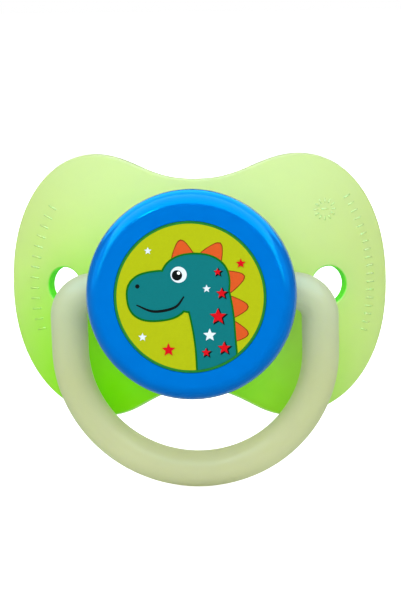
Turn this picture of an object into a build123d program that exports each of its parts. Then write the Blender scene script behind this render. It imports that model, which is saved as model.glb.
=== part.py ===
from build123d import *

import os
from math import cos, pi, radians, sin, sqrt

# A baby's pacifier. Millimetres.
#
# The teat axis is Y. The knob faces -Y, the teat points to +Y, into the mouth, +Z is up towards the nose
# and X runs across the two wings of the shield. The origin is the centre of the knob's flat front face,
# so every depth below is a distance behind that face.
#
# How it goes together: the teat's flange lies in a seat ring on the front of the shield, with its neck
# through the shield. The plug's head clamps the flange and its stem stiffens the neck. The ring handle's
# two journals drop into slots in the shield's collar. The knob cap snaps over the collar, closes the
# slots, and its rib holds the plug down. The picture disc sits in a recess in the cap's face.

# ---- Shield: a spherical shell, cut to a butterfly outline
wing_half_width = 30.1
top_lobe_x = 15.5  # from the centre line to the highest point of each upper lobe
top_lobe_z = 20.8
top_notch_z = 17.2  # the nose notch
bottom_lobe_x = 14.4
bottom_lobe_z = -21.4
bottom_notch_z = -16.3
lobe_fullness = 2.18  # exponent of the superellipse that rounds each wing; 2 would be an ellipse
notch_pinch = 1.2  # above 1 makes a notch narrower than a plain cosine wave
shield_depth = 10.0  # depth of the dome's crown
dome_radius = 47.0
shield_thickness = 2.1
rim_round = 0.95
vent_radius = 3.0
vent_x = 21.1  # centre of each air hole on the dome's front
vent_tilt = 22.0  # degrees the air holes turn out from the teat axis
vent_round = 0.3

# ---- Knob cap
knob_radius = 16.4
face_radius = 14.0  # where the flat face turns into the shoulder
shoulder_depth = 3.2
skirt_radius = 15.1
rim_underside = 1.2  # radius of the round under the knob's rim
skirt_wall = 1.4
skirt_gap = 0.35  # between the skirt's edge and the shield
face_wall = 1.9
cap_rib_inset = 2.1  # from the plug head's edge in to the rib
cap_rib_wall = 1.0

# ---- Picture disc
disc_radius = 11.8
disc_thickness = 0.3

# ---- Ring handle
pivot_rise = 1.6  # from the dome's crown forward to the handle's axis
handle_lean = 13.0  # degrees the hanging ring leans back towards the chin
handle_radius = 2.9
handle_corner = 4.2
limb_length = 5.8  # straight stretch between the corner and the lower bow
bow_drop = 20.3  # from the end of the straight stretch to the centre line's lowest point
journal_radius = 2.0
journal_head_step = 0.6
journal_head_length = 1.1

# ---- Collar and seat ring on the shield
collar_wall = 1.4
collar_front = 3.6
seat_wall = 1.0

# ---- Teat and plug
neck_radius = 6.3
neck_wall = 1.4
flange_thickness = 1.4
neck_bead = 1.0
bead_length = 1.1
bead_round = 0.45
teat_reach = 27.0  # from the bead to the tip
bulb_half_width = 9.4
bulb_half_height = 5.9
bulb_peak = 0.62  # share of the reach at which the bulb is widest
waist = 0.7  # how much the neck narrows between the bead and the bulb
tip_lift = 2.2  # the tip rises towards the palate
tip_wall = 1.8
plug_head_thickness = 1.6
stem_reach = 6.0  # how far the stem runs past the shield's crown
stem_wall = 1.1
stem_taper = 0.6

# ---- Clearances
running = 0.08  # journal in its bearing
seating = 0.05  # pieces that sit still in one another
snap = 0.1  # skirt over collar
gap = 0.2  # between moving pieces that must never touch
head_gap = 0.15  # round the journals' heads, where they pass the dome
rim_gap = 0.3  # between the knob's rim and the ring's arms
ring_gap = 0.5  # between the knob's rim and the ring's limbs
snap_bead = 0.25

# ---- Sizes that follow from the ones above
pivot_depth = shield_depth - pivot_rise
skirt_start = pivot_depth - handle_radius - rim_gap
skirt_bore = skirt_radius - skirt_wall
collar_radius = skirt_bore - snap
collar_bore = collar_radius - collar_wall
journal_head_radius = journal_radius + journal_head_step
head_outer = sqrt(collar_bore**2 - journal_head_radius**2) - seating
head_inner = head_outer - journal_head_length
seat_radius = head_inner - gap
seat_bore = seat_radius - seat_wall
flange_radius = seat_bore - seating
cap_rib_radius = flange_radius - cap_rib_inset
neck_hole = neck_radius + seating
arm_start = skirt_radius + gap
handle_half_width = knob_radius + ring_gap + handle_radius
limb_end = handle_corner + limb_length
bearing_radius = journal_radius + running
flange_front = shield_depth - flange_thickness
plug_front = flange_front - plug_head_thickness
slot_start = 0.5 * (seat_radius + head_outer)


def dome_depth(radius, inset=0.0):
    """Depth of the shell at a distance from the axis; inset is measured into the shell from its front."""
    sphere = dome_radius - inset
    return shield_depth + dome_radius - sqrt(sphere**2 - radius**2)


skirt_edge = dome_depth(skirt_bore) - skirt_gap
bead_start = dome_depth(neck_radius + neck_bead, shield_thickness) + seating
bead_end = bead_start + bead_length


def wing_quarter(lobe_x, lobe_z, steps=6):
    """Points from the wing's side to the lobe's peak: a superellipse about (lobe_x, 0)."""
    power = 2 / lobe_fullness
    points = []
    for step in range(steps):
        angle = 0.5 * pi * step / steps
        across = lobe_x + (wing_half_width - lobe_x) * cos(angle) ** power
        points.append((across, lobe_z * sin(angle) ** power))
    return points


def notch_half(lobe_x, lobe_z, notch_z, steps=4):
    """Points from the lobe's peak to the centre line: half a cosine wave, pinched at the notch."""
    points = []
    for step in range(steps + 1):
        across = 1 - step / steps
        rise = 0.5 * (1 - cos(pi * across**notch_pinch))
        points.append((lobe_x * across, notch_z + (lobe_z - notch_z) * rise))
    return points


def bearing_slot(open_end):
    """A slot across X about the handle's axis, round at the journal and open towards the given depth."""
    with Locations((pivot_depth, 0)):
        Circle(bearing_radius)
    with Locations((0.5 * (pivot_depth + open_end), 0)):
        Rectangle(abs(open_end - pivot_depth), 2 * bearing_radius)


def bulb_size(share, half_size):
    """Half width or height of the bulb at a share of its reach: neck, waist, swell, then a round tip."""
    if share > bulb_peak:
        return half_size * sqrt(1 - ((share - bulb_peak) / (1 - bulb_peak)) ** 2)
    rise = share / bulb_peak
    swell = rise * rise * (3 - 2 * rise)
    return neck_radius + (half_size - neck_radius) * swell - waist * sin(pi * rise) ** 2


def bulb_sections(layer):
    """Ellipses along the bulb and a point at its tip, for the outside (layer 0) or the hollow (layer 1)."""
    reach = teat_reach - layer * tip_wall
    sections = []
    for share in (0, 0.14, 0.28, 0.42, 0.54, 0.64, 0.76, 0.86, 0.93, 0.975):
        wall = layer * (neck_wall + (tip_wall - neck_wall) * share)
        with BuildSketch(Plane.XZ.offset(-bead_end - share * reach), mode=Mode.PRIVATE) as section:
            with Locations((0, tip_lift * share**2)):
                Ellipse(bulb_size(share, bulb_half_width) - wall, bulb_size(share, bulb_half_height) - wall)
        sections.append(section.sketch)
    return [*sections, Vertex(0, bead_end + reach, tip_lift)]


# ---- shield -------------------------------------------------------------------------------------------
upper = wing_quarter(top_lobe_x, top_lobe_z) + notch_half(top_lobe_x, top_lobe_z, top_notch_z)
lower = wing_quarter(bottom_lobe_x, bottom_lobe_z) + notch_half(bottom_lobe_x, bottom_lobe_z, bottom_notch_z)
right_side = lower[::-1] + upper[1:]
left_side = [(-x, z) for x, z in right_side[-2:0:-1]]
dome_centre = (0, shield_depth + dome_radius, 0)
groove_depth = dome_depth(collar_radius) - 1.1
lug_back = dome_depth(skirt_radius, 0.5 * shield_thickness)

with BuildPart() as shield:
    # the butterfly outline, cut from a spherical shell
    with BuildSketch(Plane.XZ.offset(1 - shield_depth)):
        with BuildLine():
            Spline(*right_side, *left_side, periodic=True)
        make_face()
    extrude(amount=-dome_radius)
    with Locations(dome_centre):
        Sphere(dome_radius, mode=Mode.INTERSECT)
    with Locations(dome_centre):
        Sphere(dome_radius - shield_thickness, mode=Mode.SUBTRACT)
    fillet(shield.edges(), rim_round)
    # collar with its snap groove, seat ring, and the flat land that the teat's flange lies on
    with BuildSketch(Plane.XY):
        with BuildLine():
            Polyline(
                (0, shield_depth),
                (seat_bore, shield_depth),
                (seat_bore, plug_front - seating),
                (seat_radius, plug_front - seating),
                (seat_radius, dome_depth(seat_radius, 0.5 * shield_thickness)),
                (0, shield_depth + 0.5 * shield_thickness),
                close=True,
            )
        make_face()
        with BuildLine():
            Polyline(
                (collar_bore, collar_front),
                (collar_radius, collar_front),
                (collar_radius, groove_depth - 2 * snap_bead),
                (collar_radius - snap_bead - seating, groove_depth),
                (collar_radius, groove_depth + 2 * snap_bead),
                (collar_radius, dome_depth(collar_radius, 0.5 * shield_thickness)),
                (collar_bore, dome_depth(collar_bore, 0.5 * shield_thickness)),
                close=True,
            )
        make_face()
    revolve(axis=Axis.Y)
    # a lug behind each journal closes the slot in the cap's skirt
    for side in (-1, 1):
        with BuildSketch(Plane.YZ.offset(side * (collar_radius - 0.5 * collar_wall))):
            with Locations((0.5 * (pivot_depth + lug_back), 0)):
                Rectangle(lug_back - pivot_depth, 2 * (bearing_radius - seating))
        extrude(amount=side * (skirt_radius - collar_radius + 0.5 * collar_wall - seating))
    # the journals' slots, open to the front
    for side in (-1, 1):
        with BuildSketch(Plane.YZ.offset(side * slot_start)):
            bearing_slot(collar_front - 1)
        extrude(amount=side * (skirt_radius - slot_start + 1), mode=Mode.SUBTRACT)
    # room for the journals' heads
    for side in (-1, 1):
        with BuildSketch(Plane.YZ.offset(side * (seat_radius + seating))):
            with Locations((pivot_depth, 0)):
                Circle(journal_head_radius + head_gap)
        extrude(amount=side * (head_outer - seat_radius), mode=Mode.SUBTRACT)
    # hole for the teat's neck
    with BuildSketch(Plane.XZ.offset(1 - shield_depth)):
        Circle(neck_hole)
    extrude(amount=-shield_thickness - 3, mode=Mode.SUBTRACT)
    # air holes, with softened edges
    for side in (-1, 1):
        outwards = Vector(side * sin(radians(vent_tilt)), -cos(radians(vent_tilt)), 0)
        mouth = Vector(side * vent_x, dome_depth(vent_x), 0)
        with BuildSketch(Plane(mouth + outwards * vent_radius, (0, 0, 1), outwards)):
            Circle(vent_radius)
        extrude(amount=-shield_thickness - 2 * vent_radius, mode=Mode.SUBTRACT)
    vent_rims = shield.edges().filter_by(lambda edge: abs(abs(edge.center().X) - vent_x) < vent_radius)
    fillet(vent_rims.filter_by(lambda edge: abs(edge.length - 2 * pi * vent_radius) < 0.5), vent_round)
shield.part.label = "shield"

# ---- teat ---------------------------------------------------------------------------------------------
with BuildPart() as teat:
    # flange, neck and the bead that grips the back of the shield
    with BuildSketch(Plane.XY):
        with BuildLine():
            Polyline(
                (0, flange_front),
                (flange_radius, flange_front),
                (flange_radius, shield_depth),
                (neck_radius, shield_depth),
                (neck_radius, bead_start),
                (neck_radius + neck_bead, bead_start),
                (neck_radius + neck_bead, bead_end),
                (0, bead_end),
                close=True,
            )
        make_face()
    revolve(axis=Axis.Y)
    bead_edges = teat.edges().filter_by(GeomType.CIRCLE).group_by(Axis.Y)[-1]
    fillet(bead_edges, bead_round)
    loft(bulb_sections(0))
    # the hollow inside
    with BuildSketch(Plane.XZ.offset(-flange_front)):
        Circle(neck_radius - neck_wall)
    extrude(amount=flange_front - bead_end, mode=Mode.SUBTRACT)
    loft(bulb_sections(1), mode=Mode.SUBTRACT)
teat.part.label = "teat"

# ---- teat plug ----------------------------------------------------------------------------------------
stem_radius = neck_radius - neck_wall - seating
stem_end = shield_depth + stem_reach
with BuildPart() as teat_plug:
    with BuildSketch(Plane.XY):
        with BuildLine():
            Polyline(
                (0, plug_front),
                (flange_radius, plug_front),
                (flange_radius, flange_front),
                (stem_radius, flange_front),
                (stem_radius - stem_taper, stem_end),
                (stem_radius - stem_taper - stem_wall, stem_end),
                (stem_radius - stem_wall, flange_front),
                (0, flange_front),
                close=True,
            )
        make_face()
    revolve(axis=Axis.Y)
teat_plug.part.label = "teat_plug"

# ---- knob cap -----------------------------------------------------------------------------------------
with BuildPart() as knob_cap:
    with BuildSketch(Plane.XY):
        with BuildLine():
            rim = Line((knob_radius, shoulder_depth), (knob_radius, skirt_start - rim_underside))
            underside = JernArc(rim @ 1, (0, 1), rim_underside, 90)
            Polyline(
                underside @ 1,
                (skirt_radius, skirt_start),
                (skirt_radius, skirt_edge),
                (skirt_bore, skirt_edge),
                (skirt_bore, groove_depth + 2 * snap_bead),
                (skirt_bore - snap_bead, groove_depth),
                (skirt_bore, groove_depth - 2 * snap_bead),
                (skirt_bore, face_wall),
                (cap_rib_radius, face_wall),
                (cap_rib_radius, plug_front),
                (cap_rib_radius - cap_rib_wall, plug_front),
                (cap_rib_radius - cap_rib_wall, face_wall),
                (0, face_wall),
                (0, disc_thickness),
                (disc_radius + seating, disc_thickness),
                (disc_radius + seating, 0),
                (face_radius, 0),
            )
            EllipticalCenterArc(
                (face_radius, shoulder_depth),
                knob_radius - face_radius,
                shoulder_depth,
                start_angle=-90,
                arc_size=90,
            )
        make_face()
    revolve(axis=Axis.Y)
    # slots for the journals, open to the rear
    for side in (-1, 1):
        with BuildSketch(Plane.YZ.offset(side * (skirt_bore - 1))):
            bearing_slot(skirt_edge + 1)
        extrude(amount=side * (skirt_radius - skirt_bore + 2), mode=Mode.SUBTRACT)
knob_cap.part.label = "knob_cap"

# ---- picture disc -------------------------------------------------------------------------------------
with BuildPart() as picture_disc:
    with BuildSketch(Plane.XZ):
        Circle(disc_radius)
    extrude(amount=-disc_thickness)
picture_disc.part.label = "picture_disc"

# ---- handle -------------------------------------------------------------------------------------------
lean = radians(handle_lean)
ring_plane = Plane(origin=(0, pivot_depth, 0), x_dir=(1, 0, 0), z_dir=(0, -cos(lean), -sin(lean)))
with BuildPart() as handle:
    # the ring: shoulders, limbs and lower bow, in one plane through the hinge axis
    with BuildLine(ring_plane) as ring_path:
        arm = Line((arm_start, 0), (handle_half_width - handle_corner, 0))
        shoulder = JernArc(arm @ 1, (1, 0), handle_corner, -90)
        limb = Line(shoulder @ 1, (handle_half_width, -limb_end))
        bow = EllipticalCenterArc(
            (0, -limb_end), handle_half_width, bow_drop, start_angle=0, arc_size=-180
        )
        far_limb = Line(bow @ 1, (-handle_half_width, -handle_corner))
        far_shoulder = JernArc(far_limb @ 1, (0, 1), handle_corner, -90)
        Line(far_shoulder @ 1, (-arm_start, 0))
    with BuildSketch(Plane.YZ.offset(arm_start)):
        with Locations((pivot_depth, 0)):
            Circle(handle_radius)
    sweep(path=ring_path.line)
    # journals and the heads that keep them in the collar
    for side in (-1, 1):
        with BuildSketch(Plane.YZ.offset(side * head_outer)):
            with Locations((pivot_depth, 0)):
                Circle(journal_radius)
        extrude(amount=side * (arm_start - head_outer))
        with BuildSketch(Plane.YZ.offset(side * head_inner)):
            with Locations((pivot_depth, 0)):
                Circle(journal_head_radius)
        extrude(amount=side * (head_outer - head_inner))
handle.part.label = "handle"

os.makedirs("parts", exist_ok=True)
export_step(shield.part, "parts/shield.step")
export_step(teat.part, "parts/teat.step")
export_step(teat_plug.part, "parts/teat_plug.step")
export_step(knob_cap.part, "parts/knob_cap.step")
export_step(picture_disc.part, "parts/picture_disc.step")
export_step(handle.part, "parts/handle.step")
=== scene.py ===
from math import cos, pi, radians, sin

import bmesh
import bpy
import numpy as np
from mathutils import Matrix, Vector


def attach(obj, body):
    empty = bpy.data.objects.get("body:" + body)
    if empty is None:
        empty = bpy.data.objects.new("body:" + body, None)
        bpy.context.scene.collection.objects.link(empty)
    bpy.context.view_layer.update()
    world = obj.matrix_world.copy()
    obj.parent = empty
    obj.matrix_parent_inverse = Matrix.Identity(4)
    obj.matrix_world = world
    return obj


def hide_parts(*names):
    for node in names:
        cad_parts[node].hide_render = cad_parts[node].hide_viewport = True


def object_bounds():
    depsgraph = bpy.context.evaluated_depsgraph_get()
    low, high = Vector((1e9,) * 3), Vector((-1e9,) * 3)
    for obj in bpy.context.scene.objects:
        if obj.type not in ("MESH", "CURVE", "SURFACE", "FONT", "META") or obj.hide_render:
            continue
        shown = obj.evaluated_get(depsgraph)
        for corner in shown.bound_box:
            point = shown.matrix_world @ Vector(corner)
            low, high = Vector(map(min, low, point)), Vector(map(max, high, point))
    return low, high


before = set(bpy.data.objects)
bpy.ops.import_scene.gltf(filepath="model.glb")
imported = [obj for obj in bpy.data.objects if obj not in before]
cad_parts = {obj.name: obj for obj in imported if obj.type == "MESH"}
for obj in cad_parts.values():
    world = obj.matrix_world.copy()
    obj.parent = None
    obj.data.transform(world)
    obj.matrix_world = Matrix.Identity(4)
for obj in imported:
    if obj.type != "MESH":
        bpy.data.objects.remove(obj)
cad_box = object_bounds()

# ---- Camera, light and floor -------------------------------------------------------------------------
# The pacifier hangs in front of a white room, over a white floor that is lit from below. A long lens
# looks at it from a little above the knob and a little to its right, tipped by less than a degree.
MM = 0.001
CAMERA_AZIMUTH, CAMERA_ELEVATION, CAMERA_ROLL = radians(4.0), radians(7.0), radians(0.7)
CAMERA_DISTANCE = 450 * MM
CAMERA_SHIFT = (0.0232, -0.0140)
AIM = Vector((0, 3 * MM, 0))
FRAME_WIDTH_AT_AIM = 62.16 * MM
SENSOR_WIDTH = 36.0

camera_data = bpy.data.cameras.new("camera")
camera_data.sensor_fit = "HORIZONTAL"
camera_data.sensor_width = SENSOR_WIDTH
camera_data.lens = SENSOR_WIDTH * CAMERA_DISTANCE / FRAME_WIDTH_AT_AIM
camera_data.shift_x, camera_data.shift_y = CAMERA_SHIFT
camera_data.clip_start = 10 * MM
camera = bpy.data.objects.new("camera", camera_data)
bpy.context.scene.collection.objects.link(camera)
backwards = Vector((
    sin(CAMERA_AZIMUTH) * cos(CAMERA_ELEVATION),
    -cos(CAMERA_AZIMUTH) * cos(CAMERA_ELEVATION),
    sin(CAMERA_ELEVATION),
))
camera.matrix_world = (
    Matrix.Translation(AIM + CAMERA_DISTANCE * backwards)
    @ backwards.to_track_quat("Z", "Y").to_matrix().to_4x4()
    @ Matrix.Rotation(-CAMERA_ROLL, 4, "Z")
)
bpy.context.scene.camera = camera
bpy.context.scene.view_settings.view_transform = "Standard"


def linear(colour):
    """An sRGB hex colour as linear red, green, blue and alpha: the sRGB curve undone in each channel."""
    channels = [int(colour[i:i + 2], 16) / 255 for i in (1, 3, 5)]
    return (*[c / 12.92 if c <= 0.04045 else ((c + 0.055) / 1.055) ** 2.4 for c in channels], 1.0)


# The Mix node's colour sockets, by number, because its number and vector sockets share their names.
MIX_A, MIX_B, MIXED = 6, 7, 2


def node(tree, kind, settings=None, inputs=None, stops=None):
    """Adds one shader node.

    settings are its own properties, inputs hold values or the sockets to link from, and stops are the
    (place, hex colour) pairs of a colour ramp.
    """
    made = tree.nodes.new(kind)
    for name, value in (settings or {}).items():
        setattr(made, name, value)
    for number, (place, colour) in enumerate(stops or []):
        if number == len(made.color_ramp.elements):
            made.color_ramp.elements.new(1.0)
        made.color_ramp.elements[number].position = place
        made.color_ramp.elements[number].color = linear(colour)
    for name, value in (inputs or {}).items():
        if isinstance(value, bpy.types.NodeSocket):
            tree.links.new(value, made.inputs[name])
        else:
            made.inputs[name].default_value = value
    return made


# The room is white to the eye and gives a softer light. In reflections it is dim and a little blue, as
# in a dark studio where only the softboxes and the cards shine back.
ROOM_LIGHT, ROOM_REFLECTED = 0.61, 0.22
WHITE = linear("#FFFFFF")
ROOM_REFLECTED_COLOUR = linear("#90D4F4")


def mirrored_share(tree, path):
    """One for a ray reflected in a gloss, and none for one that went on through clear silicone."""
    made = node(tree, "ShaderNodeMath", {"operation": "SUBTRACT", "use_clamp": True}, {
        0: path.outputs["Is Glossy Ray"], 1: path.outputs["Is Transmission Ray"],
    })
    return made.outputs[0]


world = bpy.data.worlds.new("white_backdrop")
world.use_nodes = True
tree = world.node_tree
path = node(tree, "ShaderNodeLightPath")
mirrored = mirrored_share(tree, path)
unseen = node(tree, "ShaderNodeMapRange", inputs={
    "Value": mirrored, "To Min": ROOM_LIGHT, "To Max": ROOM_REFLECTED,
})
strength = node(tree, "ShaderNodeMapRange", inputs={
    "Value": path.outputs["Is Camera Ray"], "To Min": unseen.outputs["Result"],
})
room_colour = node(tree, "ShaderNodeMix", {"data_type": "RGBA"}, {
    "Factor": mirrored, MIX_A: WHITE, MIX_B: ROOM_REFLECTED_COLOUR,
})
background = tree.nodes["Background"]
tree.links.new(room_colour.outputs[MIXED], background.inputs["Color"])
tree.links.new(strength.outputs["Result"], background.inputs["Strength"])
bpy.context.scene.world = world


def softbox(name, place, size, watts, width=None):
    """An area light at a place in metres, square or of the given width, turned to face the knob."""
    data = bpy.data.lights.new(name, "AREA")
    data.shape = "RECTANGLE"
    data.size = width or size
    data.size_y = size
    data.energy = watts
    lamp = bpy.data.objects.new(name, data)
    bpy.context.scene.collection.objects.link(lamp)
    facing_knob = Vector(place).to_track_quat("Z", "Y").to_matrix().to_4x4()
    lamp.matrix_world = Matrix.Translation(place) @ facing_knob
    return lamp


# Name, place, size, watts, and whether the light shows in gloss.
SOFTBOXES = [
    ("overhead_softbox", (0.0, -0.38, 0.46), 0.42, 2.5, False),
    ("left_softbox", (-0.42, -0.45, 0.13), 0.24, 0.5, True),
    ("right_softbox", (0.42, -0.45, 0.13), 0.24, 0.6, True),
    ("back_softbox", (0.0, 0.60, 0.20), 0.45, 3.6, False),
    ("small_key", (-0.22, -0.60, 0.27), 0.05, 0.25, True),
]
for name, place, size, watts, in_gloss in SOFTBOXES:
    softbox(name, place, size, watts).visible_glossy = in_gloss

# Cards that show in gloss alone: name, place, height, watts, width, colour, and whether the card is
# flagged off from everything but the blue knob, whose edge it keeps clean.
CARDS = [
    ("card_above", (0.0, -0.22, 0.52), 0.95, 24.0, 1.90, "#B0ECFF", False),
    ("card_behind", (0.0, 0.42, 0.50), 0.60, 14.0, 1.60, "#20B8FF", True),
    ("card_at_left", (-0.60, -0.20, 0.20), 0.50, 1.6, 0.50, "#60C8FF", True),
    ("card_at_right", (0.60, -0.20, 0.20), 0.50, 1.2, 0.50, "#60C8FF", True),
]
knob_only = bpy.data.collections.new("lit_by_blue_cards")
knob_only.objects.link(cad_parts["knob_cap"])
for name, place, size, watts, width, colour, for_knob in CARDS:
    card = softbox(name, place, size, watts, width)
    card.data.color = linear(colour)[:3]
    card.visible_diffuse = False
    card.visible_transmission = False
    if for_knob:
        card.light_linking.receiver_collection = knob_only


FLOOR_REACH = 3.0
FLOOR_GLOW = 0.85
WELD_DISTANCE = 1e-7


def grid_faces(rows, columns):
    """Quads of a grid whose points run row by row, as an array of four point numbers each."""
    corner = (np.arange(rows - 1)[:, None] * columns + np.arange(columns - 1)[None, :]).ravel()
    return np.stack([corner, corner + 1, corner + columns + 1, corner + columns], 1)


def mesh_from_grids(name, grids, facing=None):
    """One mesh of several grids of points in metres, with the points that coincide welded.

    A grid that faces away from the direction facing has its quads turned round.
    """
    points, faces, start = [], [], 0
    for grid in grids:
        rows, columns = grid.shape[:2]
        quads = grid_faces(rows, columns)
        flat = grid.reshape(-1, 3)
        if facing is not None:
            diagonals = flat[quads[:, 2]] - flat[quads[:, 0]], flat[quads[:, 3]] - flat[quads[:, 1]]
            if (np.cross(*diagonals) @ np.array(facing)).sum() < 0:
                quads = quads[:, ::-1]
        points.append(flat)
        faces.append(quads + start)
        start += len(flat)
    mesh = bpy.data.meshes.new(name)
    mesh.from_pydata(np.concatenate(points).tolist(), [], np.concatenate(faces).tolist())
    weld = bmesh.new()
    weld.from_mesh(mesh)
    bmesh.ops.remove_doubles(weld, verts=weld.verts, dist=WELD_DISTANCE)
    weld.to_mesh(mesh)
    weld.free()
    mesh.shade_smooth()
    made = bpy.data.objects.new(name, mesh)
    bpy.context.scene.collection.objects.link(made)
    return made


def new_material(name):
    """A material with its node tree and its Principled shader."""
    made = bpy.data.materials.new(name)
    made.use_nodes = True
    return made, made.node_tree, made.node_tree.nodes["Principled BSDF"]


lowest = cad_box[0][2]
sides = (-FLOOR_REACH, FLOOR_REACH)
floor_corners = np.array([[(x, y, lowest) for x in sides] for y in sides])
floor = mesh_from_grids("floor", [floor_corners], facing=(0, 0, 1))

# White and shadowless to the eye, and a dim grey blue in reflections, like the room.
floor_paint, tree, shader = new_material("white_acrylic_lit_from_below")
path = node(tree, "ShaderNodeLightPath")
floor_colour = node(tree, "ShaderNodeMix", {"data_type": "RGBA"}, {
    "Factor": mirrored_share(tree, path), MIX_A: linear("#CCCCCC"), MIX_B: linear("#506878"),
})
tree.links.new(floor_colour.outputs[MIXED], shader.inputs["Base Color"])
glow = node(tree, "ShaderNodeMath", {"operation": "MULTIPLY"}, {
    0: path.outputs["Is Camera Ray"], 1: FLOOR_GLOW,
})
tree.links.new(glow.outputs[0], shader.inputs["Emission Strength"])
shader.inputs["Emission Color"].default_value = WHITE
shader.inputs["Roughness"].default_value = 0.9
floor.data.materials.append(floor_paint)

# ---- Shield ------------------------------------------------------------------------------------------
# The domed butterfly plate that lies on the baby's face: one moulding of tinted, translucent
# polypropylene from a lightly blasted mould. Its green is graded as painted light: vivid at the chin,
# in the shade of the knob and ring, and pale at the nose, where light falls on the top. It is deep in
# the air holes, where the wall is seen edge-on.
DOME_CROWN = 10.0 * MM
DOME_RADIUS = 47.0 * MM
DOME_CENTRE = (0, DOME_CROWN + DOME_RADIUS, 0)
SHIELD_WALL = 2.1 * MM
VENT_MOUTH = (21.1 * MM, 15.0 * MM, 0)
VENT_TILT = radians(22)
VENT_AXIS = (sin(VENT_TILT), -cos(VENT_TILT), 0)
VENT_RADIUS = 3.0 * MM
VENT_ROUND_STARTS, VENT_ROUND_ENDS = 0.05 * MM, 0.3 * MM
PAINTED_HIGHLIGHT_STARTS, PAINTED_HIGHLIGHT_FULL = 1.02 * MM, 0.88 * MM  # distances from the middle of the wall
PAINTED_SHADE_STARTS, PAINTED_SHADE_FULL = 0.75 * MM, 0.35 * MM
# Painted light: the greens run from vivid at the chin, in the shade of the knob and ring, to pale towards
# the nose, where light falls on the top.
PAINTED_LIGHT_CENTRE = (-6.5 * MM, 0, -22 * MM)
PAINTED_LIGHT_REACH = 46 * MM
PAINTED_LIGHT_GREENS = [
    (0.20, "#A0F000"),
    (0.42, "#B8EE4C"),
    (0.56, "#C6EC78"),
    (0.72, "#D4EA98"),
    (0.84, "#D5E6A0"),
    (1.0, "#D4E3A2"),
]
BLAST_GRAIN = 0.25 * MM
FLOW_MARK = 5.0 * MM
FLOW_SHIFT = 1.5 * MM
POLYPROPYLENE_IOR = 1.49
SHIELD_LIGHT_THROUGH = 0.5


def let_light_through(tree, shader, colour, share):
    """Mixes a share of translucent diffuse into the material, so that light from behind shows."""
    through = node(tree, "ShaderNodeBsdfTranslucent", inputs={"Color": colour})
    mixed = node(tree, "ShaderNodeMixShader", inputs={
        "Fac": share, 1: shader.outputs["BSDF"], 2: through.outputs["BSDF"],
    })
    tree.links.new(mixed.outputs["Shader"], tree.nodes["Material Output"].inputs["Surface"])


def fine_bump(tree, shader, place, size, strength, distance):
    """Noise of the given size in metres as bump on the shader's normal. Gives the noise's socket."""
    noise = node(tree, "ShaderNodeTexNoise", inputs={"Vector": place, "Scale": 1 / size, "Detail": 3.0})
    bump = node(tree, "ShaderNodeBump", inputs={
        "Strength": strength, "Distance": distance, "Height": noise.outputs["Fac"],
    })
    tree.links.new(bump.outputs["Normal"], shader.inputs["Normal"])
    return noise.outputs["Fac"]


def painted_light_gradient(tree, place):
    """The shield's green by distance from its chin in x and z, shifted a little by the melt's flow. The
    grading is painted light, pale where light falls on the top and vivid in the shade low down.
    """
    flattened = node(tree, "ShaderNodeVectorMath", {"operation": "MULTIPLY"}, {0: place, 1: (1, 0, 1)})
    from_chin = node(tree, "ShaderNodeVectorMath", {"operation": "DISTANCE"}, {
        0: flattened.outputs["Vector"], 1: PAINTED_LIGHT_CENTRE,
    })
    flow = node(tree, "ShaderNodeTexNoise", inputs={
        "Vector": place, "Scale": 1 / FLOW_MARK, "Detail": 2.0,
    })
    flow_shift = node(tree, "ShaderNodeMapRange", inputs={
        "Value": flow.outputs["Fac"], "To Min": -FLOW_SHIFT, "To Max": FLOW_SHIFT,
    })
    wandering = node(tree, "ShaderNodeMath", {"operation": "ADD"}, {
        0: from_chin.outputs["Value"], 1: flow_shift.outputs["Result"],
    })
    share = node(tree, "ShaderNodeMapRange", inputs={
        "Value": wandering.outputs[0], "From Max": PAINTED_LIGHT_REACH,
    })
    painted_light_green = node(tree, "ShaderNodeValToRGB", inputs={"Fac": share.outputs["Result"]}, stops=PAINTED_LIGHT_GREENS)
    return painted_light_green.outputs["Color"]


# It looks soft and lit from inside: silky faces, a painted highlight as a paler band where the rim is
# rounded, and painted shade as a greyer line round the middle of the wall. The real grain of the
# blasting is finer than a quarter of a millimetre, and is drawn as coarse as it needs to show.
shield_plastic, tree, shader = new_material("translucent_moulded_polypropylene")
place = node(tree, "ShaderNodeTexCoord").outputs["Object"]
painted_light_green = painted_light_gradient(tree, place)
one_side = node(tree, "ShaderNodeVectorMath", {"operation": "ABSOLUTE"}, {0: place})
from_mouth = node(tree, "ShaderNodeVectorMath", {"operation": "SUBTRACT"}, {
    0: one_side.outputs["Vector"], 1: VENT_MOUTH,
})
off_axis = node(tree, "ShaderNodeVectorMath", {"operation": "CROSS_PRODUCT"}, {
    0: from_mouth.outputs["Vector"], 1: VENT_AXIS,
})
axis_distance = node(tree, "ShaderNodeVectorMath", {"operation": "LENGTH"}, {
    0: off_axis.outputs["Vector"],
})
in_vent = node(tree, "ShaderNodeMapRange", inputs={
    "Value": axis_distance.outputs["Value"],
    "From Min": VENT_RADIUS + VENT_ROUND_STARTS,
    "From Max": VENT_RADIUS + VENT_ROUND_ENDS,
    "To Min": 1.0,
    "To Max": 0.0,
})
from_dome_centre = node(tree, "ShaderNodeVectorMath", {"operation": "DISTANCE"}, {
    0: place, 1: DOME_CENTRE,
})
past_middle = node(tree, "ShaderNodeMath", {"operation": "SUBTRACT"}, {
    0: from_dome_centre.outputs["Value"], 1: DOME_RADIUS - SHIELD_WALL / 2,
})
off_middle = node(tree, "ShaderNodeMath", {"operation": "ABSOLUTE"}, {0: past_middle.outputs[0]})
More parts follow.
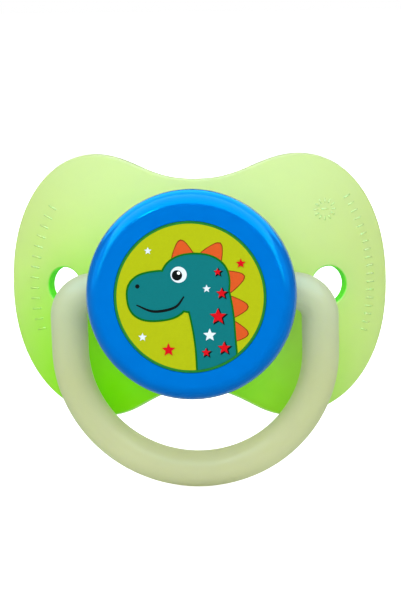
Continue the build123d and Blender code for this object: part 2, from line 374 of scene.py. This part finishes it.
# Painted highlight: a paler band where the rim is rounded.
painted_highlight = node(tree, "ShaderNodeMapRange", inputs={
    "Value": off_middle.outputs[0], "From Min": PAINTED_HIGHLIGHT_STARTS, "From Max": PAINTED_HIGHLIGHT_FULL, "To Max": 0.65,
})
with_painted_highlight = node(tree, "ShaderNodeMix", {"data_type": "RGBA"}, {
    "Factor": painted_highlight.outputs["Result"], MIX_A: painted_light_green, MIX_B: linear("#EAF6D2"),
})
# Painted shade: a greyer line round the middle of the wall, at the rim's edge.
painted_edge_shade = node(tree, "ShaderNodeMapRange", inputs={
    "Value": off_middle.outputs[0], "From Min": PAINTED_SHADE_STARTS, "From Max": PAINTED_SHADE_FULL, "To Max": 0.85,
})
with_painted_shade = node(tree, "ShaderNodeMix", {"data_type": "RGBA"}, {
    "Factor": painted_edge_shade.outputs["Result"], MIX_A: with_painted_highlight.outputs[MIXED], MIX_B: linear("#94A886"),
})
with_vents = node(tree, "ShaderNodeMix", {"data_type": "RGBA"}, {
    "Factor": in_vent.outputs["Result"], MIX_A: with_painted_shade.outputs[MIXED], MIX_B: linear("#70F03C"),
})
green = with_vents.outputs[MIXED]
tree.links.new(green, shader.inputs["Base Color"])
fine_bump(tree, shader, place, BLAST_GRAIN, 0.06, 0.02 * MM)
shader.inputs["Roughness"].default_value = 0.38
shader.inputs["IOR"].default_value = POLYPROPYLENE_IOR
shader.inputs["Subsurface Weight"].default_value = 0.35
shader.inputs["Subsurface Radius"].default_value = (1.0, 1.0, 0.4)
shader.inputs["Subsurface Scale"].default_value = 2 * MM
let_light_through(tree, shader, green, SHIELD_LIGHT_THROUGH)
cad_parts["shield"].data.materials[0] = shield_plastic

# ---- Mould marks -------------------------------------------------------------------------------------
# The round insert that moulders set in the tool leaves a ring of short raised ticks and a bar on the
# shield's upper wing, and a row of plain raised bars follows each wing's edge. They are part of the
# shield's moulding and a few hundredths of a millimetre high.
MARK_CENTRE = np.array([20.5, 12.0]) * MM
MARK_INNER, MARK_OUTER = 1.05 * MM, 1.75 * MM
MARK_TICKS = 12
MARK_BAR = 0.55 * MM
RIDGE_HALF_WIDTH = 0.12 * MM
RIDGE_HEIGHT = 0.035 * MM
RIDGE_SINK = 0.10 * MM
MARK_DEPTH = (0.74, 0.865, 0.72)

# Radius of the outer ends, length, spacing, and the angles of the first and the last bar.
LEFT_BARS = (27.0 * MM, 1.5 * MM, 1.5 * MM, radians(152), radians(196))
RIGHT_BARS = (28.2 * MM, 1.1 * MM, 1.2 * MM, radians(30), radians(-16))


def smooth_line(points, count):
    """Points along a smooth line through the given ones: each span is a Catmull-Rom cubic in t."""
    points = np.asarray(points, float)
    padded = np.vstack([2 * points[0] - points[1], points, 2 * points[-1] - points[-2]])
    along = np.linspace(0, len(points) - 1, count)
    span = np.minimum(along.astype(int), len(points) - 2)
    t = (along - span)[:, None]
    a, b, c, d = (padded[span + i] for i in range(4))
    square, cube = 2 * a - 5 * b + 4 * c - d, 3 * b - a - 3 * c + d
    return 0.5 * (2 * b + (c - a) * t + square * t**2 + cube * t**3)


def band(points, half_widths, count=48, across=7):
    """A flat ribbon as a grid of (x, z).

    Each point of a smooth line, moved square to the line by -1 to 1 times the half width there.
    """
    line = smooth_line(points, count)
    width = smooth_line(np.asarray(half_widths, float)[:, None], count)
    ahead = np.gradient(line, axis=0)
    ahead /= np.linalg.norm(ahead, axis=1)[:, None]
    sideways = np.stack([-ahead[:, 1], ahead[:, 0]], 1) * np.maximum(width, 0)
    return line[:, None, :] + np.linspace(-1, 1, across)[None, :, None] * sideways[:, None, :]


def on_dome(flat, height):
    """Lifts a grid of (x, z) onto the shield's front, and height in front of it.

    The depth is the crown's, plus the radius, less the root of the radius squared less x and z squared.
    """
    x, z = flat[..., 0], flat[..., 1]
    depth = DOME_CROWN + DOME_RADIUS - np.sqrt(DOME_RADIUS**2 - x**2 - z**2) - height
    return np.stack([x, depth, z], -1)


def thicken(piece, thickness):
    """Gives a surface a closed wall behind the side that it faces to."""
    wall = piece.modifiers.new("wall", "SOLIDIFY")
    wall.thickness = thickness
    wall.offset = -1
    return piece


def ridge(ends):
    """One straight raised line of the mould's cutter between two points (x, z)."""
    return band(ends, [RIDGE_HALF_WIDTH] * 2, count=4, across=3)


def spokes(centre, inner, outer, angles):
    """Ridges that point away from centre, from the inner to the outer radius, one at each angle."""
    return [ridge(centre + np.outer([inner, outer], [cos(a), sin(a)])) for a in angles]


def bars(edge, length, spacing, first, last):
    """Short bars that point to the shield's centre, spacing apart at radius edge, between two angles."""
    count = int(abs(last - first) * edge / spacing)
    return spokes(np.zeros(2), edge - length, edge, np.linspace(first, last, count))


ridges = [
    ridge(MARK_CENTRE + np.array([[-MARK_BAR, 0], [MARK_BAR, 0]])),
    *spokes(MARK_CENTRE, MARK_INNER, MARK_OUTER, 2 * pi * np.arange(MARK_TICKS) / MARK_TICKS),
    *bars(*LEFT_BARS),
    *bars(*RIGHT_BARS),
]
raised = [on_dome(flat, RIDGE_HEIGHT) for flat in ridges]
marks = mesh_from_grids("mould_marks", raised, facing=(0, -1, 0))
thicken(marks, RIDGE_HEIGHT + RIDGE_SINK)

# The cutter left these lines of the mould bright, so they are a little glossier than the blasted face
# round them. Their colour is the shield's green with its painted light, made deeper.
mark_plastic, tree, shader = new_material("unblasted_moulded_polypropylene")
place = node(tree, "ShaderNodeTexCoord").outputs["Object"]
deeper = node(tree, "ShaderNodeVectorMath", {"operation": "MULTIPLY"}, {
    0: painted_light_gradient(tree, place), 1: MARK_DEPTH,
})
tree.links.new(deeper.outputs["Vector"], shader.inputs["Base Color"])
fine_bump(tree, shader, place, BLAST_GRAIN, 0.05, 0.01 * MM)
shader.inputs["Roughness"].default_value = 0.3
shader.inputs["IOR"].default_value = POLYPROPYLENE_IOR
shader.inputs["Subsurface Weight"].default_value = 0.35
shader.inputs["Subsurface Scale"].default_value = 2 * MM
marks.data.materials.append(mark_plastic)
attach(marks, "soother")

# ---- Teat and its plug -------------------------------------------------------------------------------
# The teat is moulded from clear liquid silicone, with a faint warm cast. The plug that clamps its flange
# and stiffens its neck is natural polypropylene, and shows through the neck.
TEAT_ROOT, TEAT_TIP = 12 * MM, 41 * MM
TEAT_WAVE = 1.2 * MM
SILICONE_IOR = 1.41
PLUG_CLOUD = 3 * MM

# Clear and wet-looking, with soft white depths where it is thick.
teat_silicone, tree, shader = new_material("clear_silicone_rubber")
place = node(tree, "ShaderNodeTexCoord").outputs["Object"]
depth = node(tree, "ShaderNodeSeparateXYZ", inputs={"Vector": place})
along = node(tree, "ShaderNodeMapRange", inputs={
    "Value": depth.outputs["Y"], "From Min": TEAT_ROOT, "From Max": TEAT_TIP,
})
cast = node(tree, "ShaderNodeValToRGB", inputs={"Fac": along.outputs["Result"]}, stops=[
    (0.0, "#F4ECD8"), (0.6, "#F8F3E6"), (1.0, "#FBF7EE"),
])
tree.links.new(cast.outputs["Color"], shader.inputs["Base Color"])
fine_bump(tree, shader, place, TEAT_WAVE, 0.08, 0.05 * MM)
shader.inputs["Roughness"].default_value = 0.12
shader.inputs["IOR"].default_value = SILICONE_IOR
shader.inputs["Transmission Weight"].default_value = 0.85
shader.inputs["Subsurface Weight"].default_value = 0.3
shader.inputs["Subsurface Radius"].default_value = (1.0, 0.9, 0.7)
shader.inputs["Subsurface Scale"].default_value = 3 * MM
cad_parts["teat"].data.materials[0] = teat_silicone

# Cloudy off-white, with no pigment in it.
plug_plastic, tree, shader = new_material("natural_polypropylene")
place = node(tree, "ShaderNodeTexCoord").outputs["Object"]
cloud = node(tree, "ShaderNodeTexNoise", inputs={
    "Vector": place, "Scale": 1 / PLUG_CLOUD, "Detail": 2.0,
})
white = node(tree, "ShaderNodeValToRGB", inputs={"Fac": cloud.outputs["Fac"]}, stops=[
    (0.3, "#E4E4DE"), (0.7, "#F0F0EB"),
])
tree.links.new(white.outputs["Color"], shader.inputs["Base Color"])
shader.inputs["Roughness"].default_value = 0.45
shader.inputs["IOR"].default_value = POLYPROPYLENE_IOR
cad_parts["teat_plug"].data.materials[0] = plug_plastic

# ---- Knob cap ----------------------------------------------------------------------------------------
# The blue button that the parent holds: opaque polypropylene from a polished mould, pressed over the
# shield's collar. It is glossy, with the very slight waviness that polished mouldings have.
KNOB_WAVE = 4 * MM

# A clean, deep blue face, and a rounded rim that shows the lights in a bright cyan.
knob_plastic, tree, shader = new_material("polished_blue_polypropylene")
place = node(tree, "ShaderNodeTexCoord").outputs["Object"]
waves = fine_bump(tree, shader, place, KNOB_WAVE, 0.05, 0.05 * MM)
blue = node(tree, "ShaderNodeValToRGB", inputs={"Fac": waves}, stops=[
    (0.3, "#0062BC"), (0.7, "#0066C0"),
])
tree.links.new(blue.outputs["Color"], shader.inputs["Base Color"])
shader.inputs["Roughness"].default_value = 0.15
shader.inputs["IOR"].default_value = POLYPROPYLENE_IOR
shader.inputs["Specular IOR Level"].default_value = 1.0
shader.inputs["Specular Tint"].default_value = linear("#00DCF0")
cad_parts["knob_cap"].data.materials[0] = knob_plastic

# ---- Picture disc ------------------------------------------------------------------------------------
# A thin dark green plastic disc pressed into the knob's recess. The picture on it is screen printed,
# lime ground first: each colour is a film of ink a few hundredths of a millimetre thick, and the top one
# is flush with the knob's face. Sizes in this section are in millimetres.
DISC_RADIUS, DISC_FACE, DISC_BACK, DISC_EDGE = 11.8, 0.14, 0.3, 0.04
SHEET_GRAIN = 0.4
GROUND_RADIUS = 11.37
INK_STEP = 0.014
INK_THICKNESS = 0.02
INK_MOTTLE = 0.3
SHAPE_STEP = 0.001
STAR_NOTCH = 0.45

# Calendered sheet, a satin dark green that shows as a thin line round the ground's ink.
disc_plastic, tree, shader = new_material("dark_green_polystyrene_sheet")
place = node(tree, "ShaderNodeTexCoord").outputs["Object"]
grain = fine_bump(tree, shader, place, SHEET_GRAIN * MM, 0.03, 0.01 * MM)
sheet_green = node(tree, "ShaderNodeValToRGB", inputs={"Fac": grain}, stops=[
    (0.35, "#00700A"), (0.65, "#007C10"),
])
tree.links.new(sheet_green.outputs["Color"], shader.inputs["Base Color"])
shader.inputs["Roughness"].default_value = 0.4


def turned(profile, count=128):
    """A surface of revolution about the knob's axis.

    x and z are the radius of each (radius, y) of the profile times the cosine and sine of the angle.
    """
    angle = np.linspace(0, 2 * pi, count + 1)[:, None]
    radius, y = np.array(profile).T
    return np.stack([radius * np.cos(angle), np.tile(y, (count + 1, 1)), radius * np.sin(angle)], -1)


disc = mesh_from_grids("picture_disc_sheet", [turned([
    (0, DISC_FACE),
    (DISC_RADIUS / 2, DISC_FACE),
    (DISC_RADIUS - DISC_EDGE, DISC_FACE),
    (DISC_RADIUS, DISC_FACE + DISC_EDGE),
    (DISC_RADIUS, DISC_BACK),
    (DISC_RADIUS / 2, DISC_BACK),
    (0, DISC_BACK),
]) * MM])
disc.data.materials.append(disc_plastic)
disc.data.set_sharp_from_angle(angle=radians(30))
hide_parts("picture_disc")
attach(disc, "soother")


def blob(centre, size, fullness=2.0, turn=0.0, count=72):
    """A filled superellipse as a polar grid of (x, z).

    On its rim, x over the one half size and z over the other, each to the power fullness, add up to
    one. The rim is then turned, and the rings are that rim drawn in evenly to the centre.
    """
    angle = np.linspace(0, 2 * pi, count + 1)
    across, up = np.cos(angle), np.sin(angle)
    reach = (np.abs(across / size[0]) ** fullness + np.abs(up / size[1]) ** fullness) ** (-1 / fullness)
    rim = np.stack([
        reach * (across * cos(turn) - up * sin(turn)),
        reach * (across * sin(turn) + up * cos(turn)),
    ], 1)
    return np.array(centre) + np.linspace(0, 1, 5)[:, None, None] * rim[None]


def star(centre, size):
    """A five-pointed star as a polar grid of (x, z).

    Its rim runs straight between ten corners, 36 degrees apart, that lie at size and nearer in turn.
    """
    corners = np.arange(11) * pi / 5 + pi / 2
    reach = np.where(np.arange(11) % 2 == 0, size, STAR_NOTCH * size)
    rim = np.stack([reach * np.cos(corners), reach * np.sin(corners)], 1)
    rim = np.concatenate([rim[:-1] + (rim[1:] - rim[:-1]) * t for t in (0, 0.5)], 1).reshape(-1, 2)
    rim = np.vstack([rim, rim[:1]])
    return np.array(centre) + np.linspace(0, 1, 4)[:, None, None] * rim[None]


def plate(base, direction, length, half_width):
    """A rounded back plate as a ruled grid of (x, z).

    With t from 0 at the base to 1 at the tip, the half width falls as the root of one less t to the 1.3,
    times one less a quarter of t. The plate starts at t -0.35, under the body's ink.
    """
    out = np.array([cos(direction), sin(direction)])
    side = np.array([-out[1], out[0]])
    t = np.linspace(-0.35, 1, 20)
    outside = np.clip(t, 0, 1)
    width = half_width * np.sqrt(np.clip(1 - outside**1.3, 0, 1)) * (1 - 0.25 * outside)
    middle = np.array(base) + t[:, None] * length * out
    sideways = width[:, None] * side
    return middle[:, None, :] + np.linspace(-1, 1, 9)[None, :, None] * sideways[:, None, :]


def ink(name, colour, layer, shapes):
    """Prints flat shapes, given as grids of (x, z), as one film of ink on the disc's face.

    Points past the ground's edge are drawn in to it. Each shape lies a micrometre over the one before.
    """
    grids = []
    for order, shape in enumerate(shapes):
        shape = shape / np.maximum(np.linalg.norm(shape, axis=-1, keepdims=True) / GROUND_RADIUS, 1)
        face = DISC_FACE - INK_THICKNESS - layer * INK_STEP - order * SHAPE_STEP
        y = np.full(shape.shape[:2], face)
        grids.append(np.stack([shape[..., 0], y, shape[..., 1]], -1) * MM)
    film = thicken(mesh_from_grids(name, grids, facing=(0, -1, 0)), INK_THICKNESS * MM)
    film.data.shade_flat()

    # Dried ink is opaque and nearly matt, and the screen's mesh leaves it a little uneven.
    paint, tree, shader = new_material(name + "_screen_ink")
    place = node(tree, "ShaderNodeTexCoord").outputs["Object"]
    mottle = node(tree, "ShaderNodeTexNoise", inputs={
        "Vector": place, "Scale": 1 / (INK_MOTTLE * MM), "Detail": 1.0,
    })
    shade = node(tree, "ShaderNodeMapRange", inputs={
        "Value": mottle.outputs["Fac"], "To Min": 0.94, "To Max": 1.06,
    })
    tone = node(tree, "ShaderNodeVectorMath", {"operation": "SCALE"}, {
        0: linear(colour)[:3], "Scale": shade.outputs["Result"],
    })
    tree.links.new(tone.outputs["Vector"], shader.inputs["Base Color"])
    shader.inputs["Roughness"].default_value = 0.45
    shader.inputs["Specular IOR Level"].default_value = 0.1
    film.data.materials.append(paint)
    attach(film, "soother")


# The animal is a plain long-necked dinosaur that looks to the left. A blob or a dot is given by its
# centre and its half sizes, a plate by its base, direction, length and half width, and a star by its
# centre and size.
NECK = [(4.3, -13.0), (3.9, -7.5), (3.3, -2.5), (2.2, 2.0)]
NECK_WIDTHS = [3.1, 3.0, 3.2, 3.4]
HEAD, HEAD_SIZE, HEAD_FULLNESS = (0.8, 2.2), (5.2, 4.4), 2.3
SNOUT, SNOUT_SIZE, SNOUT_FULLNESS, SNOUT_TURN = (-5.0, 0.2), (4.6, 3.7), 2.5, 0.1
MOUTH = [(-8.3, -1.2), (-5.6, -2.2), (-2.4, -1.6), (-0.9, 0.1)]
MOUTH_WIDTHS = [0.1, 0.2, 0.2, 0.12]
NOSTRIL = ((-8.1, 1.7), (0.34, 0.34))
EYE = ((-1.7, 3.5), (1.25, 1.25))
PUPIL = ((-1.95, 3.4), (0.8, 0.8))
GLINT = ((-1.7, 3.75), (0.24, 0.24))
PLATES = [
    ((-1.0, 6.3), radians(98), 2.5, 1.7),
    ((3.3, 6.0), radians(58), 2.7, 1.7),
    ((5.8, 2.4), radians(18), 2.7, 1.7),
    ((6.3, -1.6), radians(2), 2.6, 1.7),
    ((6.6, -5.4), radians(-8), 2.3, 1.6),
]
NECK_STARS = [
    ((4.9, 0.6), 0.85),
    ((4.3, -3.0), 1.3),
    ((5.2, -7.9), 1.0),
    ((4.3, 3.9), 0.6),
    ((2.4, -8.6), 0.7),
]
GROUND_STARS = [((7.9, 5.2), 0.8), ((-3.4, -8.2), 1.1)]
WHITE_STARS = [((2.6, 1.3), 0.65), ((3.0, -5.9), 1.05), ((-7.4, -6.2), 0.7), ((-6.4, 7.2), 0.6)]
BODY_OUTLINE = 0.3
PLATE_OUTLINE, PLATE_TIP_OUTLINE = 0.14, 0.18
STAR_OUTLINE, STAR_SHADOW = 0.22, (0.16, -0.12)


def animal(wider):
    """The neck, head and snout as flat shapes, each grown all round by wider."""
    return [
        band(NECK, [width + wider for width in NECK_WIDTHS]),
        blob(HEAD, [size + wider for size in HEAD_SIZE], HEAD_FULLNESS),
        blob(SNOUT, [size + wider for size in SNOUT_SIZE], SNOUT_FULLNESS, SNOUT_TURN),
    ]


ink("picture_ground", "#A4AE00", 0, [blob((0, 0), (GROUND_RADIUS, GROUND_RADIUS), count=160)])
ink("picture_plate_outlines", "#7A2A00", 1, [
    plate(base, way, length + PLATE_TIP_OUTLINE, width + PLATE_OUTLINE)
    for base, way, length, width in PLATES
])
ink("picture_plates", "#C8501A", 2, [plate(*shape) for shape in PLATES])
ink("picture_body_outline", "#00640A", 3, animal(BODY_OUTLINE))
ink("picture_body", "#006C70", 4, animal(0))
ink("picture_black", "#0A0A0A", 5, [
    band(MOUTH, MOUTH_WIDTHS),
    blob(*NOSTRIL, count=24),
    *[star((x + STAR_SHADOW[0], z + STAR_SHADOW[1]), size + STAR_OUTLINE) for (x, z), size in NECK_STARS],
])
ink("picture_red", "#C80010", 6, [star(*shape) for shape in NECK_STARS + GROUND_STARS])
ink("picture_white", "#D3DEE8", 6, [blob(*EYE), *[star(*shape) for shape in WHITE_STARS]])
ink("picture_pupil", "#0A0A0A", 7, [blob(*PUPIL)])
ink("picture_glint", "#F4F6F8", 8, [blob(*GLINT, count=24)])

# ---- Ring handle -------------------------------------------------------------------------------------
# The ring that a finger or a clip goes through: solid, milky polypropylene, a cloudy grey green,
# yellower low down. Its journals turn in the shield's collar.
RING_LOWEST, RING_HIGHEST = -32 * MM, 3 * MM
RING_GRAIN = 0.5 * MM
RING_LIGHT_THROUGH = 0.4
# Painted glow: the ring emits a little of its own colour, which lifts its shadows.
PAINTED_GLOW = 0.22

# Light goes deep into it, so its shading is soft and its gloss is low, and a painted glow, a faint
# emission in its own colour, fills its shadows.
handle_plastic, tree, shader = new_material("milky_polypropylene_with_painted_glow")
place = node(tree, "ShaderNodeTexCoord").outputs["Object"]
height = node(tree, "ShaderNodeSeparateXYZ", inputs={"Vector": place})
fall = node(tree, "ShaderNodeMapRange", inputs={
    "Value": height.outputs["Z"], "From Min": RING_LOWEST, "From Max": RING_HIGHEST,
})
milky = node(tree, "ShaderNodeValToRGB", inputs={"Fac": fall.outputs["Result"]}, stops=[
    (0.0, "#D0D3AE"), (0.5, "#CBCFA4"), (1.0, "#C6D0B5"),
])
milk = milky.outputs["Color"]
tree.links.new(milk, shader.inputs["Base Color"])
fine_bump(tree, shader, place, RING_GRAIN, 0.05, 0.02 * MM)
shader.inputs["Roughness"].default_value = 0.33
shader.inputs["IOR"].default_value = POLYPROPYLENE_IOR
shader.inputs["Subsurface Weight"].default_value = 0.9
shader.inputs["Subsurface Radius"].default_value = (1.0, 1.0, 0.8)
shader.inputs["Subsurface Scale"].default_value = 5 * MM
tree.links.new(milk, shader.inputs["Emission Color"])
shader.inputs["Emission Strength"].default_value = PAINTED_GLOW
let_light_through(tree, shader, milk, RING_LIGHT_THROUGH)
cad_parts["handle"].data.materials[0] = handle_plastic
